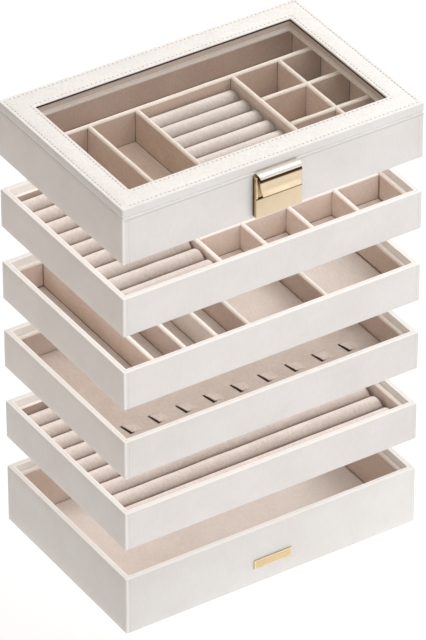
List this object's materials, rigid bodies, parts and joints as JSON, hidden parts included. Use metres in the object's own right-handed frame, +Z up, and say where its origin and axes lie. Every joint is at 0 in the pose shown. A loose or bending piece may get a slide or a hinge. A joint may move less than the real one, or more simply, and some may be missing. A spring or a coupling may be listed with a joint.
{
  "type": "stackable jewelry box",
  "caption": "Rectangular jewelry box of stacking trays with a glass-lidded top tray, latch, rear hinges, ring rolls, dividers and necklace tabs, shown lifted apart.",
  "frame": {"origin": "centre of the underside of the bottom tray's base sheet, on the surface it stands on", "axes": "+Z up along the stack, +X to the right seen from the latch side, +Y from the latch side to the hinge side"},
  "size_m": [0.28, 0.1993, 0.4121],
  "materials": {
    "leather_shell": "white grained artificial leather over board, satin",
    "velvet_lining": "short-pile beige velvet over board",
    "velvet_rolls": "short-pile beige velvet over foam",
    "pale_gold": "polished pale gold plating",
    "clear_glass": "clear, polished",
    "base_sheet": "thin felt sheet"
  },
  "bodies": {
    "deep_tray": {"deep_case": "leather_shell", "deep_liner": "velvet_lining", "deep_floor": "velvet_lining", "deep_base_sheet": "base_sheet", "deep_nameplate": "pale_gold"},
    "roll_tray": {"roll_case": "leather_shell", "roll_liner": "velvet_lining", "roll_floor": "velvet_lining", "roll_ring_rolls": "velvet_rolls"},
    "necklace_tray": {"necklace_case": "leather_shell", "necklace_liner": "velvet_lining", "necklace_floor": "velvet_lining", "necklace_hook_strip": "velvet_lining"},
    "bracelet_tray": {"bracelet_case": "leather_shell", "bracelet_liner": "velvet_lining", "bracelet_floor": "velvet_lining", "bracelet_divider_1": "velvet_lining", "bracelet_divider_2": "velvet_lining", "bracelet_divider_3": "velvet_lining", "bracelet_divider_4": "velvet_lining", "bracelet_divider_5": "velvet_lining"},
    "grid_tray": {"grid_case": "leather_shell", "grid_liner": "velvet_lining", "grid_floor": "velvet_lining", "grid_divider_1": "velvet_lining", "grid_divider_2": "velvet_lining", "grid_divider_3": "velvet_lining", "grid_divider_4": "velvet_lining", "grid_row_1": "velvet_lining", "grid_row_2": "velvet_lining", "grid_row_3": "velvet_lining", "grid_ring_rolls": "velvet_rolls"},
    "top_tray": {"top_case": "leather_shell", "top_liner": "velvet_lining", "top_floor": "velvet_lining", "top_long_divider": "velvet_lining", "top_divider_1": "velvet_lining", "top_divider_2": "velvet_lining", "top_divider_3": "velvet_lining", "top_divider_4": "velvet_lining", "top_row_1": "velvet_lining", "top_row_2": "velvet_lining", "top_ring_rolls": "velvet_rolls", "hinge_left_box_leaf": "pale_gold", "hinge_left_pin": "pale_gold", "hinge_right_box_leaf": "pale_gold", "hinge_right_pin": "pale_gold", "latch_base": "pale_gold", "latch_pin": "pale_gold"},
    "lid": {"lid_frame": "leather_shell", "lid_inner_frame": "velvet_lining", "lid_glass": "clear_glass", "lid_catch": "pale_gold", "hinge_left_lid_leaf": "pale_gold", "hinge_right_lid_leaf": "pale_gold"},
    "latch_flap_body": {"latch_flap": "pale_gold"}
  },
  "joints": [
    {"name": "roll_tray_lift", "type": "slide", "parent": "deep_tray", "child": "roll_tray", "axis": [0, 0, 1], "range_m": [-0.0296, 0]},
    {"name": "necklace_tray_lift", "type": "slide", "parent": "roll_tray", "child": "necklace_tray", "axis": [0, 0, 1], "range_m": [-0.0345, 0]},
    {"name": "bracelet_tray_lift", "type": "slide", "parent": "necklace_tray", "child": "bracelet_tray", "axis": [0, 0, 1], "range_m": [-0.0314, 0]},
    {"name": "grid_tray_lift", "type": "slide", "parent": "bracelet_tray", "child": "grid_tray", "axis": [0, 0, 1], "range_m": [-0.0341, 0]},
    {"name": "top_tray_lift", "type": "slide", "parent": "grid_tray", "child": "top_tray", "axis": [0, 0, 1], "range_m": [-0.0322, 0]},
    {"name": "lid_hinge", "type": "hinge", "parent": "top_tray", "child": "lid", "pos_m": [0, 0.0946, 0.40415], "axis": [-1, 0, 0], "range_deg": [0, 100]},
    {"name": "latch_flap_hinge", "type": "hinge", "parent": "top_tray", "child": "latch_flap_body", "pos_m": [0, -0.0962, 0.3987], "axis": [-1, 0, 0], "range_deg": [0, 50]}
  ]
}
